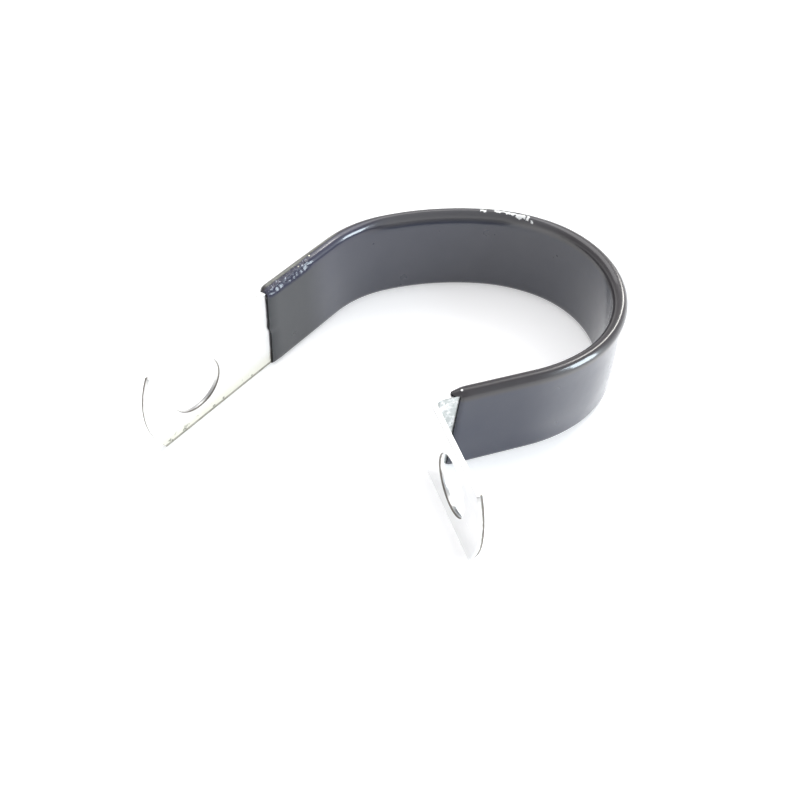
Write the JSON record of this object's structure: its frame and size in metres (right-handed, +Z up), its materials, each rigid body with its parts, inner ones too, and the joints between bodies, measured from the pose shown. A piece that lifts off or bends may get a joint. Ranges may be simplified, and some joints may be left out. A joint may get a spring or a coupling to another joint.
{
  "type": "p clip",
  "caption": "Steel P clip with holed mounting tabs and a dipped vinyl cushion round its sprung-open loop, for holding a cable, hose or pipe.",
  "frame": {"origin": "on the floor, under the middle of the clip's footprint as it stands on its edge", "axes": "+X runs along the straight long leg, from its tip towards the loop; +Y is the outward normal of the long leg's outer face; +Z is up, along the strip's width and the loop's bore"},
  "size_m": [0.074, 0.0544, 0.017],
  "materials": {
    "zinc_plated_steel": "bright zinc plate",
    "black_vinyl": "glossy dipped soft vinyl"
  },
  "bodies": {
    "root": {"steel_band": "zinc_plated_steel", "vinyl_coating": "black_vinyl"}
  },
  "joints": []
}
